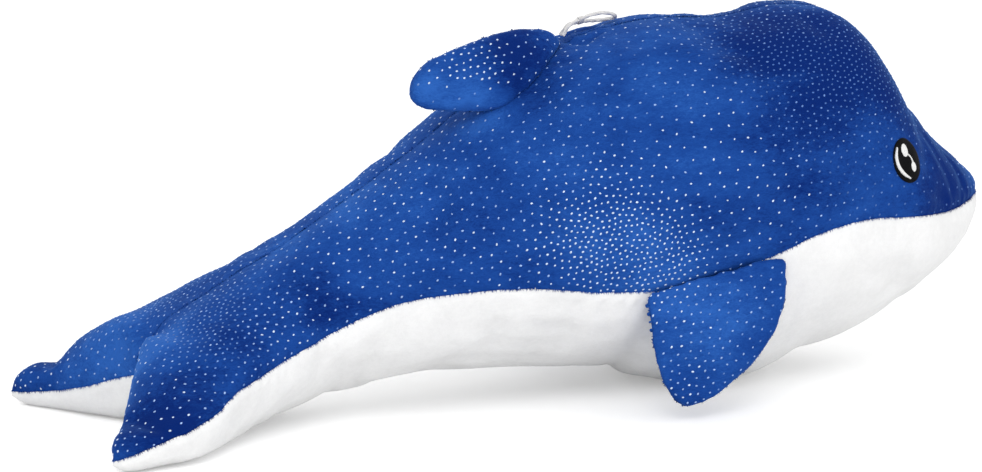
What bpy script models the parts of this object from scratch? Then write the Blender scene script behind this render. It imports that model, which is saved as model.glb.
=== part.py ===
"""Plush dolphin, 0.6 m long, lying on its belly with its beak along +X and +Z up.

The body is one closed soft form. Three fabric panels cover it: two blue back panels that
meet along the spine, and one white belly panel. Each fluke is blue above and white below.
The fins are stuffed blades sewn on at the spine and at the flanks. Origin: under the middle
of the body, on the surface that it lies on. Sizes are in metres.
"""

import math

import bmesh
import bpy
import numpy as np
from mathutils import Vector
from mathutils.bvhtree import BVHTree

# Overall size of the body. The tables below are drawn at DRAWN_SIZE and stretched to this
LENGTH = 0.602
WIDTH = 0.197
HEIGHT = 0.226
DRAWN_SIZE = (0.602, 0.197, 0.226)

# Fabric and clearance
FABRIC = 0.0020
SEAM_GAP = 0.0003
# Looser round the filling, whose corners at the notch between the flukes are sharp
FILLING_GAP = 0.0010
# How much thicker than the fabric a fin's edge is, where both panels turn in at the seam
SEAM_ALLOWANCE = 1.8
# The most that a corner moves when a surface is offset, as a share of the distance
MITRE_LIMIT = 2.0

# The most that a fin's closed end moves in for its lining, as a share of its first or last row
END_SHARE = 0.5
# The least share of a thin fin's thickness that its lining and its filling keep
LINING_LEAST = 0.25
FILLING_LEAST = 0.10

# How finely the soft forms are drawn
ROW_SPACING = 0.026
BLADE_SPACING = 0.020
STITCH_SPACING = 0.0090
BACK_STRIPS = 8
BELLY_STRIPS = 6
BLADE_STRIPS = 6

# Cross-sections from the beak to the tail stock:
# place along X, height of spine, height of belly, half width, height of widest line, of seam
SECTIONS = [
    (0.3010, 0.1015, 0.0985, 0.0020, 0.1000, 0.1000),
    (0.2990, 0.1070, 0.0915, 0.0110, 0.1000, 0.1005),
    (0.2940, 0.1130, 0.0810, 0.0220, 0.0990, 0.1010),
    (0.2840, 0.1215, 0.0680, 0.0335, 0.0970, 0.1000),
    (0.2700, 0.1345, 0.0565, 0.0455, 0.0940, 0.0990),
    (0.2540, 0.1495, 0.0475, 0.0580, 0.0950, 0.0990),
    (0.2360, 0.1720, 0.0370, 0.0695, 0.0980, 0.1010),
    (0.2150, 0.2045, 0.0260, 0.0785, 0.1020, 0.1030),
    (0.1900, 0.2235, 0.0165, 0.0855, 0.1040, 0.1060),
    (0.1600, 0.2260, 0.0110, 0.0920, 0.1050, 0.1040),
    (0.1250, 0.2210, -0.0045, 0.0960, 0.1060, 0.0940),
    (0.0850, 0.2230, -0.0020, 0.0970, 0.1060, 0.0820),
    (0.0450, 0.2190, 0.0125, 0.0950, 0.1040, 0.0745),
    (0.0050, 0.2070, 0.0180, 0.0890, 0.1010, 0.0765),
    (-0.0350, 0.1850, 0.0210, 0.0800, 0.0940, 0.0815),
    (-0.0750, 0.1560, 0.0210, 0.0680, 0.0840, 0.0800),
    (-0.1100, 0.1335, 0.0170, 0.0570, 0.0740, 0.0745),
]

# Sections of the tail, where the body parts into two flukes. Each spans from an inner point,
# on the spine plane and then along the trailing edge, to the seam on the outer edge:
# inner point, outer point, height above and below that line, share of fluke form
TAIL_SECTIONS = [
    ((-0.140, 0.000, 0.064), (-0.140, 0.051, 0.063), 0.0515, 0.050, 0.00),
    ((-0.165, 0.000, 0.058), (-0.167, 0.058, 0.054), 0.0430, 0.050, 0.00),
    ((-0.190, 0.000, 0.054), (-0.194, 0.069, 0.0455), 0.0365, 0.052, 0.05),
    ((-0.214, 0.000, 0.048), (-0.216, 0.080, 0.0385), 0.0310, 0.052, 0.10),
    ((-0.233, 0.000, 0.042), (-0.229, 0.087, 0.0305), 0.0300, 0.048, 0.20),
    ((-0.244, 0.000, 0.038), (-0.237, 0.091, 0.0270), 0.0320, 0.045, 0.55),
    ((-0.250, 0.000, 0.034), (-0.244, 0.0935, 0.0245), 0.0340, 0.042, 1.00),
    ((-0.260, 0.020, 0.027), (-0.256, 0.0965, 0.0210), 0.0285, 0.036, 1.00),
    ((-0.270, 0.038, 0.0195), (-0.268, 0.0980, 0.0175), 0.0225, 0.027, 1.00),
    ((-0.279, 0.055, 0.0145), (-0.279, 0.0985, 0.0145), 0.0150, 0.020, 1.00),
    ((-0.288, 0.070, 0.0105), (-0.289, 0.0975, 0.0120), 0.0115, 0.0145, 1.00),
    ((-0.295, 0.080, 0.0090), (-0.2965, 0.0960, 0.0105), 0.0085, 0.0105, 1.00),
    ((-0.2985, 0.0855, 0.0080), (-0.3000, 0.0935, 0.0085), 0.0060, 0.0075, 1.00),
    ((-0.3005, 0.0880, 0.0080), (-0.3010, 0.0915, 0.0080), 0.0018, 0.0018, 1.00),
]
# A fluke's crest lies towards its trailing edge: power of the spacing across it, and how much
# lower the top stands at the outer edge
FLUKE_CREST = 1.6
FLUKE_FALL = 0.35

# Dorsal fin: it springs from the spine at FIN_X, sweeps back and flops to the right.
# Leading edge point, trailing edge point and half thickness, from the spine's point there
FIN_X = 0.020
DORSAL_SECTIONS = [
    ((0.003, 0.000, -0.012), (-0.020, -0.018, -0.060), 0.0020),
    ((-0.001, 0.000, 0.003), (-0.028, -0.024, -0.048), 0.0080),
    ((-0.011, -0.003, 0.0095), (-0.040, -0.028, -0.0370), 0.0115),
    ((-0.030, -0.006, 0.0115), (-0.054, -0.029, -0.0340), 0.0130),
    ((-0.050, -0.009, 0.0095), (-0.070, -0.028, -0.0330), 0.0125),
    ((-0.072, -0.012, 0.0045), (-0.086, -0.027, -0.0320), 0.0110),
    ((-0.092, -0.015, -0.0015), (-0.0985, -0.025, -0.0300), 0.0090),
    ((-0.102, -0.018, -0.0090), (-0.1050, -0.023, -0.0265), 0.0060),
    ((-0.106, -0.020, -0.0160), (-0.1070, -0.022, -0.0225), 0.0020),
]

# Pectoral fins: each hangs from the flank seam at PECTORAL_X.
# Rear edge point, front edge point and half thickness, from the flank's point there
PECTORAL_X = 0.080
PECTORAL_Z = 0.084
PECTORAL_SECTIONS = [
    ((-0.041, -0.024, 0.004), (0.042, -0.026, 0.030), 0.0020),
    ((-0.045, -0.014, -0.004), (0.046, -0.012, 0.020), 0.0055),
    ((-0.047, -0.003, -0.014), (0.048, 0.002, 0.005), 0.0070),
    ((-0.048, 0.005, -0.030), (0.045, 0.006, -0.016), 0.0075),
    ((-0.046, 0.009, -0.048), (0.035, 0.009, -0.038), 0.0070),
    ((-0.041, 0.012, -0.064), (0.018, 0.011, -0.056), 0.0060),
    ((-0.034, 0.012, -0.073), (-0.002, 0.012, -0.069), 0.0050),
    ((-0.027, 0.012, -0.0765), (-0.018, 0.012, -0.0755), 0.0020),
]

# Embroidered eyes
EYE_X = 0.2155
EYE_Z = 0.137
EYE_HEIGHT = 0.0265
EYE_WIDTH = 0.0250
EYE_LEAN = math.radians(8.0)
EYE_THREAD = 0.0008
# How much thinner the stitching is at its rim than in its middle, as a share
EYE_CROWN = 0.45
# White stitches on the eye: centre ahead of and above the eye's middle, width and height,
# as shares of the eye's width and height
GLINTS = [
    (-0.09, 0.21, 0.23, 0.28),
    (0.17, -0.13, 0.21, 0.22),
]

# Hanging loop: a cord sewn in beside the spine seam, bound where it becomes the loop.
# Its two ends are lowered to CORD_SEAT above the back. Points of the strand that comes up out
# of the seam, of the ring above the binding, and of the strand that goes back down
CORD_DIAMETER = 0.0025
CORD_STEP = 2.2
CORD_SEAT = 0.0014
BINDING_LENGTH = 0.0034
BINDING_WALL = 0.0008
BINDING_SLACK = 0.0009
CORD_OUT = [
    (0.0240, 0.0045, 0.2175),
    (0.0275, 0.0040, 0.2205),
]
CORD_RING = [
    (0.0350, 0.0030, 0.2245),
    (0.0430, 0.0025, 0.2268),
    (0.0510, 0.0035, 0.2270),
    (0.0580, 0.0060, 0.2250),
    (0.0605, 0.0095, 0.2228),
    (0.0570, 0.0130, 0.2212),
    (0.0500, 0.0135, 0.2208),
    (0.0430, 0.0090, 0.2218),
    (0.0358, 0.0068, 0.2220),
]
CORD_BACK = [
    (0.0290, 0.0082, 0.2203),
    (0.0250, 0.0105, 0.2172),
]

BLUE = (0.012, 0.055, 0.300, 1.0)
WHITE = (0.830, 0.830, 0.815, 1.0)
FIBRE = (0.800, 0.790, 0.760, 1.0)
BLACK = (0.008, 0.008, 0.010, 1.0)
CORD_GREY = (0.680, 0.660, 0.640, 1.0)

LEFT, RIGHT, BELLY, CAP = range(1, 5)


def clear_scene():
    for obj in list(bpy.data.objects):
        bpy.data.objects.remove(obj)


def new_collection(name):
    collection = bpy.data.collections.new(name)
    bpy.context.scene.collection.children.link(collection)
    return collection


def new_material(name, colour, roughness):
    material = bpy.data.materials.new(name)
    material.use_nodes = True
    shader = material.node_tree.nodes["Principled BSDF"]
    shader.inputs["Base Color"].default_value = colour
    shader.inputs["Roughness"].default_value = roughness
    shader.inputs["Metallic"].default_value = 0.0
    return material


def add_object(name, mesh, collection, colour, roughness=0.9):
    obj = bpy.data.objects.new(name, mesh)
    obj.data.materials.append(new_material(name + "_finish", colour, roughness))
    collection.objects.link(obj)
    return obj


def stretched(point):
    """A point of the tables at the toy's overall size."""
    sizes = zip(point, (LENGTH, WIDTH, HEIGHT), DRAWN_SIZE)
    return Vector([value * size / drawn for value, size, drawn in sizes])


def smooth_rows(keys, spacing):
    """Rows through the key rows, each column a cubic that never overshoots its keys."""
    keys = np.array(keys, float)
    steps = np.linalg.norm(np.diff(keys[:, :8], axis=0), axis=1)
    slopes = np.diff(keys, axis=0) / steps[:, None]
    tangents = np.zeros_like(keys)
    tangents[0], tangents[-1] = slopes[0], slopes[-1]
    same_way = slopes[:-1] * slopes[1:] > 0
    safe = np.where(same_way, slopes[:-1] + slopes[1:], 1.0)
    tangents[1:-1] = np.where(same_way, 2 * slopes[:-1] * slopes[1:] / safe, 0.0)
    rows = []
    for i, step in enumerate(steps):
        count = max(1, round(step / spacing))
        for n in range(count):
            t = n / count
            start = (2 * t**3 - 3 * t**2 + 1) * keys[i] + (t**3 - 2 * t**2 + t) * step * tangents[i]
            end = (3 * t**2 - 2 * t**3) * keys[i + 1] + (t**3 - t**2) * step * tangents[i + 1]
            rows.append(start + end)
    rows.append(keys[-1])
    return rows


def body_rows():
    """Inner point, outer point, height above and below, seam angle and fluke share."""
    keys = []
    for x, spine, belly, half_width, widest, seam in SECTIONS:
        above, below = spine - widest, widest - belly
        angle = math.asin((seam - widest) / (above if seam > widest else below))
        keys.append([(x, 0, widest), (x, half_width, widest), above, below, angle, 0])
    for inner, outer, above, below, fluke in TAIL_SECTIONS:
        keys.append([inner, outer, above, below, 0, fluke])
    taller = HEIGHT / DRAWN_SIZE[2]
    keys = [
        [*stretched(inner), *stretched(outer), above * taller, below * taller, angle, fluke]
        for inner, outer, above, below, angle, fluke in keys
    ]
    return smooth_rows(keys, ROW_SPACING)


def half_section(row):
    """Points of the left half, from the spine (or trailing edge) over the seam to the belly."""
    inner, outer = np.array(row[0:3]), np.array(row[3:6])
    above, below, seam, fluke = row[6:10]
    points = []
    for strip in range(BACK_STRIPS + BELLY_STRIPS + 1):
        if strip <= BACK_STRIPS:
            share = strip / BACK_STRIPS
            round_angle = math.pi / 2 + (seam - math.pi / 2) * share
            pillow_angle = math.pi * share
        else:
            share = (strip - BACK_STRIPS) / BELLY_STRIPS
            round_angle = seam - (math.pi / 2 + seam) * share
            pillow_angle = -math.pi * (1 - share)
        rise = above if round_angle > 0 else below
        pillow_across = (1 - math.cos(pillow_angle)) / 2
        pillow_up = math.sin(pillow_angle) * below
        if pillow_angle > 0:
            pillow_across **= FLUKE_CREST
            pillow_up = math.sin(pillow_angle) * above * (1 - FLUKE_FALL * pillow_across)
        across = (1 - fluke) * math.cos(round_angle) + fluke * pillow_across
        up = (1 - fluke) * math.sin(round_angle) * rise + fluke * pillow_up
        point = inner + across * (outer - inner)
        points.append(Vector((point[0], max(point[1], 0.0), max(point[2] + up, 0.0))))
    return points


def add_quad(bm, corners, tag, tags):
    distinct = list(dict.fromkeys(corners))
    if len(distinct) > 2:
        bm.faces.new(distinct)[tags] = tag


def closed_form(bm):
    """Faces turned out, and split the same way in every form built on the same grid."""
    bmesh.ops.triangulate(bm, faces=bm.faces, quad_method="FIXED")
    bmesh.ops.recalc_face_normals(bm, faces=bm.faces)
    bm.normal_update()
    return bm


def body_hull():
    """The whole body as one closed mesh, each face tagged with the panel that covers it."""
    bm = bmesh.new()
    tags = bm.faces.layers.int.new("panel")
    known = {}

    def vertex(point, side):
        key = (round(point.x, 7), round(side * point.y, 7), round(point.z, 7))
        if key not in known:
            known[key] = bm.verts.new((point.x, side * point.y, point.z))
        return known[key]

    sections = [half_section(row) for row in body_rows()]
    rings = []
    for side, back in ((1, LEFT), (-1, RIGHT)):
        grid = [[vertex(point, side) for point in section] for section in sections]
        rings.append(grid)
        for front, rear in zip(grid, grid[1:]):
            for strip in range(BACK_STRIPS + BELLY_STRIPS):
                corners = [front[strip], front[strip + 1], rear[strip + 1], rear[strip]]
                tag = back if strip < BACK_STRIPS else BELLY
                add_quad(bm, corners[::side], tag, tags)
        add_quad(bm, grid[-1], CAP, tags)
    add_quad(bm, rings[0][0] + rings[1][0][::-1], CAP, tags)
    return closed_form(bm)


def blade_hull(root, sections, side, inset=0.0, least=1.0):
    """A stuffed blade between two edges as one closed mesh, its faces tagged by side.

    With an inset it is the form that lies that far inside, and where the blade is thin,
    no less than the least share of its thickness.
    """
    keys = []
    for first, second, half_thickness in sections:
        first = root + stretched((first[0], side * first[1], first[2]))
        second = root + stretched((second[0], side * second[1], second[2]))
        keys.append([*first, *second, half_thickness, 0])
    rows = smooth_rows(keys, BLADE_SPACING)
    middles = [(Vector(row[0:3]) + Vector(row[3:6])) / 2 for row in rows]
    last = len(rows) - 1
    bm = bmesh.new()
    tags = bm.faces.layers.int.new("panel")
    grid = []
    for i, row in enumerate(rows):
        half_chord = (Vector(row[3:6]) - Vector(row[0:3])) / 2
        along = middles[min(i + 1, last)] - middles[max(i - 1, 0)]
        outward = along.cross(half_chord).normalized()
        middle = middles[i]
        if i in (0, last):
            inward = middles[1 if i == 0 else last - 1] - middle
            middle = middle + inward * min(inset / inward.length, END_SHARE)
        chord_share = max(1 - SEAM_ALLOWANCE * inset / half_chord.length, least)
        thick_share = max(1 - inset / row[6], least)
        ring = []
        for strip in range(2 * BLADE_STRIPS):
            angle = math.pi * strip / BLADE_STRIPS
            on_chord = middle - half_chord * math.cos(angle) * chord_share
            ring.append(bm.verts.new(on_chord + outward * row[6] * math.sin(angle) * thick_share))
        grid.append(ring)
    for front, rear in zip(grid, grid[1:]):
        for strip in range(2 * BLADE_STRIPS):
            after = (strip + 1) % (2 * BLADE_STRIPS)
            corners = [front[strip], front[after], rear[after], rear[strip]]
            add_quad(bm, corners, LEFT if strip < BLADE_STRIPS else RIGHT, tags)
    add_quad(bm, grid[0], CAP, tags)
    add_quad(bm, grid[-1], CAP, tags)
    return closed_form(bm)


def lined_mesh(name, outer, inner, faces):
    """A closed wall between an outer and an inner sheet that share their faces."""
    count = len(outer)
    edges = {}
    for face in faces:
        for a, b in zip(face, face[1:] + face[:1]):
            edges[(a, b)] = True
    rim = [(b, a, a + count, b + count) for a, b in edges if (b, a) not in edges]
    lining = [tuple(i + count for i in reversed(face)) for face in faces]
    mesh = bpy.data.meshes.new(name)
    mesh.from_pydata(outer + inner, [], faces + lining + rim)
    mesh.shade_smooth()
    mesh.set_sharp_from_angle(angle=math.radians(50))
    return mesh


def panel_mesh(name, hull, lining, tag):
    """The fabric between hull and lining over the faces with this tag.

    It stops half a gap short of each of its seams.
    """
    lining.verts.ensure_lookup_table()
    tags = hull.faces.layers.int["panel"]
    covered = [face for face in hull.faces if face[tags] == tag]
    index, outer, inner = {}, [], []
    for face in covered:
        for vert in face.verts:
            if vert in index:
                continue
            index[vert] = len(outer)
            place = vert.co.copy()
            if any(other[tags] != tag for other in vert.link_faces):
                mine = [other for other in vert.link_faces if other[tags] == tag]
                middle = sum((other.calc_center_median() for other in mine), Vector()) / len(mine)
                seam = Vector()
                for edge in vert.link_edges:
                    if len({other[tags] == tag for other in edge.link_faces}) == 2:
                        run = edge.other_vert(vert).co - vert.co
                        seam += run if run.dot(seam) >= 0 else -run
                away = middle - vert.co
                if seam.length:
                    seam.normalize()
                    away -= seam * away.dot(seam)
                away -= vert.normal * away.dot(vert.normal)
                place += away.normalized() * SEAM_GAP / 2
                place.z = max(place.z, 0.0)
            outer.append(place)
            inner.append(lining.verts[vert.index].co + place - vert.co)
    faces = [tuple(index[vert] for vert in face.verts) for face in covered]
    return lined_mesh(name, outer, inner, faces)


def grown(hull, distance):
    """A copy of the closed form with its faces moved out (or in) by this distance."""
    copy = hull.copy()
    for vert in copy.verts:
        vert.co += vert.normal * distance * min(vert.calc_shell_factor(), MITRE_LIMIT)
    return copy


def closed_mesh(name, hull):
    mesh = bpy.data.meshes.new(name)
    hull.to_mesh(mesh)
    mesh.shade_smooth()
    return mesh


def cut_to_body(obj, cutter):
    cut = obj.modifiers.new("seat_on_body", "BOOLEAN")
    cut.operation = "DIFFERENCE"
    cut.solver = "EXACT"
    cut.object = cutter


def add_body(hull, parts):
    lining = grown(hull, -FABRIC)
    for name, tag, colour in (
        ("back_panel_left", LEFT, BLUE),
        ("back_panel_right", RIGHT, BLUE),
        ("belly_panel", BELLY, WHITE),
    ):
        add_object(name, panel_mesh(name, hull, lining, tag), parts, colour)
    filling = grown(hull, -(FABRIC + FILLING_GAP))
    add_object("body_filling", closed_mesh("body_filling", filling), parts, FIBRE)


def add_blade(name, root, sections, side, side_names, cutter, parts):
    """Two panels and the filling of a stuffed fin, seated on the body's surface."""
    hull = blade_hull(root, sections, side)
    lining = blade_hull(root, sections, side, FABRIC, LINING_LEAST)
    filling = blade_hull(root, sections, side, FABRIC + SEAM_GAP, FILLING_LEAST)
    for side_name, tag in zip(side_names, (LEFT, RIGHT)):
        panel_name = f"{name}_{side_name}_panel"
        mesh = panel_mesh(panel_name, hull, lining, tag)
        cut_to_body(add_object(panel_name, mesh, parts, BLUE), cutter)
    filling_name = name + "_filling"
    mesh = closed_mesh(filling_name, filling)
    cut_to_body(add_object(filling_name, mesh, parts, FIBRE), cutter)


def surface_point(surface, start, direction):
    place, normal, _, _ = surface.ray_cast(Vector(start), Vector(direction))
    return place, normal


def stitched_oval(name, surface, centre, outward, up, size, lift, thickness):
    """An oval of satin stitch that follows the surface under it."""
    rings = max(2, round(size[1] / STITCH_SPACING))
    spokes = 4 * (rings + 1)
    across = up.cross(outward).normalized()
    up = outward.cross(across).normalized()
    flat = [(0.0, 0.0)]
    for ring in range(1, rings + 1):
        for spoke in range(spokes):
            angle = 2 * math.pi * spoke / spokes
            flat.append((ring / rings * math.cos(angle), ring / rings * math.sin(angle)))
    outer, inner = [], []
    for a, b in flat:
        above = centre + across * a * size[0] / 2 + up * b * size[1] / 2 + outward * size[1]
        place, _ = surface_point(surface, above, -outward)
        crown = 1 - EYE_CROWN * (a * a + b * b) ** 2
        outer.append(place + outward * (lift + thickness * crown))
        inner.append(place + outward * lift)
    faces = [(0, 1 + spoke, 1 + (spoke + 1) % spokes) for spoke in range(spokes)]
    for ring in range(rings - 1):
        for spoke in range(spokes):
            after = (spoke + 1) % spokes
            low, high = 1 + ring * spokes, 1 + (ring + 1) * spokes
            faces.append((low + spoke, high + spoke, high + after, low + after))
    return lined_mesh(name, outer, inner, faces)


def add_eyes(surface, parts):
    for side_name, side in (("left", 1), ("right", -1)):
        centre, outward = surface_point(surface, stretched((EYE_X, side, EYE_Z)), (0, -side, 0))
        up = Vector((-math.sin(EYE_LEAN), 0, math.cos(EYE_LEAN)))
        name = "eye_" + side_name
        oval = stitched_oval(
            name, surface, centre, outward, up, (EYE_WIDTH, EYE_HEIGHT), SEAM_GAP, EYE_THREAD
        )
        add_object(name, oval, parts, BLACK, 0.45)
        forward = outward.cross(up).normalized() * side
        for number, (ahead, above, width, height) in enumerate(GLINTS, 1):
            place = centre + forward * ahead * EYE_WIDTH + up * above * EYE_HEIGHT
            glint_name = f"{name}_glint_{number}"
            lift = 2 * SEAM_GAP + EYE_THREAD
            glint = stitched_oval(
                glint_name, surface, place, outward, up,
                (width * EYE_WIDTH, height * EYE_HEIGHT), lift, EYE_THREAD / 2
            )
            add_object(glint_name, glint, parts, WHITE, 0.45)


def smooth_route(points, step):
    """Points about one step apart on a smooth curve through the route's points."""
    ends = [2 * points[0] - points[1], *points, 2 * points[-1] - points[-2]]
    fine = []
    for before, start, end, after in zip(ends, ends[1:], ends[2:], ends[3:]):
        for n in range(12):
            t = n / 12
            fine.append(
                0.5 * (2 * start + (end - before) * t
                       + (2 * before - 5 * start + 4 * end - after) * t**2
                       + (3 * start - before - 3 * end + after) * t**3)
            )
    fine.append(points[-1])
    lengths = np.cumsum([0.0] + [(b - a).length for a, b in zip(fine, fine[1:])])
    targets = np.linspace(0, lengths[-1], max(1, round(lengths[-1] / step)) + 1)
    axes = [np.interp(targets, lengths, [point[axis] for point in fine]) for axis in range(3)]
    return [Vector(place) for place in zip(*axes)]


def loop_points(surface):
    points = [stretched(point) for point in CORD_OUT + CORD_RING + CORD_BACK]
    for end in (points[0], points[-1]):
        back, _ = surface_point(surface, (end.x, end.y, 1), (0, 0, -1))
        end.z = back.z + CORD_SEAT
    return points


def add_loop(surface, parts):
    points = loop_points(surface)
    curve = bpy.data.curves.new("hang_loop", "CURVE")
    curve.dimensions = "3D"
    curve.bevel_depth = CORD_DIAMETER / 2
    curve.bevel_resolution = 2
    curve.use_fill_caps = True
    route = smooth_route(points, CORD_STEP * CORD_DIAMETER)
    spline = curve.splines.new("POLY")
    spline.points.add(len(route) - 1)
    for point, place in zip(spline.points, route):
        point.co = (*place, 1.0)
    add_object("hang_loop", curve, parts, CORD_GREY, 0.8)

    start = len(CORD_OUT)
    end = start + len(CORD_RING) - 1
    first, second = points[start], points[end]
    runs = [points[i + 1] - points[i - 1] for i in (start, end)]
    along = runs[0].normalized() - runs[1].normalized()
    radius = (second - first).length / 2 + CORD_DIAMETER / 2 + BINDING_SLACK
    bm = bmesh.new()
    bmesh.ops.create_cone(
        bm, segments=12, radius1=radius, radius2=radius, depth=BINDING_LENGTH, cap_ends=False
    )
    mesh = bpy.data.meshes.new("loop_binding")
    bm.to_mesh(mesh)
    bm.free()
    binding = add_object("loop_binding", mesh, parts, CORD_GREY, 0.8)
    binding.location = (first + second) / 2
    binding.rotation_mode = "QUATERNION"
    binding.rotation_quaternion = along.to_track_quat("Z", "Y")
    wall = binding.modifiers.new("wall", "SOLIDIFY")
    wall.thickness = BINDING_WALL
    wall.offset = 1.0


def main():
    clear_scene()
    parts = new_collection("plush_dolphin")
    cutters = new_collection("cutters")
    hull = body_hull()
    surface = BVHTree.FromBMesh(hull)
    clearance = closed_mesh("body_clearance", grown(hull, SEAM_GAP))
    cutter = bpy.data.objects.new("body_clearance", clearance)
    cutter.hide_render = True
    cutter.display_type = "WIRE"
    cutters.objects.link(cutter)

    add_body(hull, parts)
    spine, _ = surface_point(surface, stretched((FIN_X, 0, 1)), (0, 0, -1))
    add_blade("dorsal_fin", spine, DORSAL_SECTIONS, 1, ("left", "right"), cutter, parts)
    for side_name, side, face_names in (
        ("left", 1, ("inner", "outer")),
        ("right", -1, ("outer", "inner")),
    ):
        beside = stretched((PECTORAL_X, side, PECTORAL_Z))
        flank, _ = surface_point(surface, beside, (0, -side, 0))
        name = "pectoral_fin_" + side_name
        add_blade(name, flank, PECTORAL_SECTIONS, side, face_names, cutter, parts)
    add_eyes(surface, parts)
    add_loop(surface, parts)


main()
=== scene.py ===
"""The looks of a stuffed plush dolphin that lies on its belly.

Blue short-pile back panels with foil dots, a white pile belly, stuffed fins, stitched eyes
and a hanging loop. Everything is in metres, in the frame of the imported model.
"""
import math

import bmesh
import bpy
import numpy as np
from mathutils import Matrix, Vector, noise
from mathutils.bvhtree import BVHTree
from mathutils.kdtree import KDTree


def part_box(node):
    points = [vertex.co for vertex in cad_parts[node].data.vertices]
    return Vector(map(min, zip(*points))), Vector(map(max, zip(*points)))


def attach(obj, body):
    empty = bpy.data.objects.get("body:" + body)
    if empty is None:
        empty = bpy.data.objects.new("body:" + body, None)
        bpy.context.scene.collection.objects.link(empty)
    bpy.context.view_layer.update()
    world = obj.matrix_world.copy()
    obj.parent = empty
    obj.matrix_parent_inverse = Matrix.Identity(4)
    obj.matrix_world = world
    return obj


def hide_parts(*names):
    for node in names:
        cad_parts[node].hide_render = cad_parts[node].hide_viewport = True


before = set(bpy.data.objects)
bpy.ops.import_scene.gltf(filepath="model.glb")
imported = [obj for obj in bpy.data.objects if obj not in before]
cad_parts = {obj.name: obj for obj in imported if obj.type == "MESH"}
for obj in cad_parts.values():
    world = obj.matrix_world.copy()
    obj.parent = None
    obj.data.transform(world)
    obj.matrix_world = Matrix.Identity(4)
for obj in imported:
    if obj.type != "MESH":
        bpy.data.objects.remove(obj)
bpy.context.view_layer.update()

# Camera: the photograph's angle, 3.2 m away, with 0.6 mm to a pixel at the toy
AZIMUTH = math.radians(-23.5)
ELEVATION = math.radians(12.5)
DISTANCE = 3.2
TARGET = Vector((-0.025, 0.0, 0.097))
SENSOR_WIDTH = 0.036
VIEW_WIDTH = 982 * 0.0006
STUDIO_SIZE = 12.0

# Hanging loop, with the same route as the solid cord
CORD_DIAMETER = 0.0025
CORD_SEAT = 0.0014
CORD_PLIES = 3
CORD_TWIST = 0.0075
CORD_THREAD = ((0.80, 0.79, 0.78), (0.60, 0.59, 0.58), 0.3)
BINDING_TURNS = 5
BINDING_STEPS = 24
BINDING_PITCH = 0.00062
BINDING_RADIUS = 0.00034
BINDING_LIFT = 0.0004
LOOP_ROUTE = (
    (0.0240, 0.0045, 0.2175),
    (0.0275, 0.0040, 0.2205),
    (0.0350, 0.0030, 0.2245),
    (0.0430, 0.0025, 0.2268),
    (0.0510, 0.0035, 0.2270),
    (0.0580, 0.0060, 0.2250),
    (0.0605, 0.0095, 0.2228),
    (0.0570, 0.0130, 0.2212),
    (0.0500, 0.0135, 0.2208),
    (0.0430, 0.0090, 0.2218),
    (0.0358, 0.0068, 0.2220),
    (0.0290, 0.0082, 0.2203),
    (0.0250, 0.0105, 0.2172),
)

# Skin: mesh fineness, stuffing and seams
BODY_VOXEL = 0.0050
FIN_VOXEL = 0.0022
OUTER_SHARE = 0.25
SIM_FRAMES = 20
CLOTH = {
    "quality": 5, "mass": 0.25,
    "tension_stiffness": 18, "compression_stiffness": 18,
    "shear_stiffness": 8, "bending_stiffness": 0.6,
    "shrink_min": -0.025, "shrink_max": -0.025,
    "use_pressure": True, "uniform_pressure_force": 3.0,
    "vertex_group_mass": "held", "pin_stiffness": 2.0,
}
HELD_LEAST = 0.02
BODY_HELD_REACH = 0.006
FIN_HELD_REACH = 0.004
ROOT_HELD_REACH = 0.006
REST_HEIGHT = 0.004
REST_FADE = 0.010
BODY_SWELL = 0.0022
FIN_SWELL = 0.0016
SHELL = 0.0012
SEAM_CLEARANCE = 0.00004
SEAM_BAND = 0.0055
SEAM_SNAP = 0.00002
SEAM_WIDTH = 0.0030
BELLY_SEAM_DEPTH = 0.0012
SPINE_SEAM_DEPTH = 0.0004
FIN_SEAM_DEPTH = 0.0003
PUCKER_PITCH = 0.010
PUCKER_HEIGHT = 0.0005
PUCKER_REACH = 0.010
PUCKER_DRIFT = 2.5
PUCKER_DRIFT_SIZE = 0.03
PUCKER_PATCH_SIZE = 0.05
PUCKER_SHARE = 0.35
LIP_HEIGHT = 0.3
LIP_AWAY = 2.2
BELLY_SEAM_SEED, SPINE_SEAM_SEED, FIN_SEAM_SEED = 3, 11, 31
# Soft lumps: height, size and seed
BODY_LUMPS = ((0.0012, 0.060, 21), (0.0004, 0.024, 25))
FIN_LUMPS = ((0.0006, 0.030, 35),)
FINS = (
    ("dorsal_fin", ("left", "right")),
    ("pectoral_fin_left", ("outer", "inner")),
    ("pectoral_fin_right", ("outer", "inner")),
)

# Tufts of blue pile that overlap the white at the seam
FRINGE_SPACING = 0.00028
FRINGE_LENGTH = (0.0012, 0.0026)
FRINGE_WIDTH = 0.00028
FIN_FRINGE = 0.40
FRINGE_STRAY = 0.45
FRINGE_RISE = 0.35
FRINGE_ROOT = 0.0007
FRINGE_SUNK = 0.0001
FRINGE_SEED = 3

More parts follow.
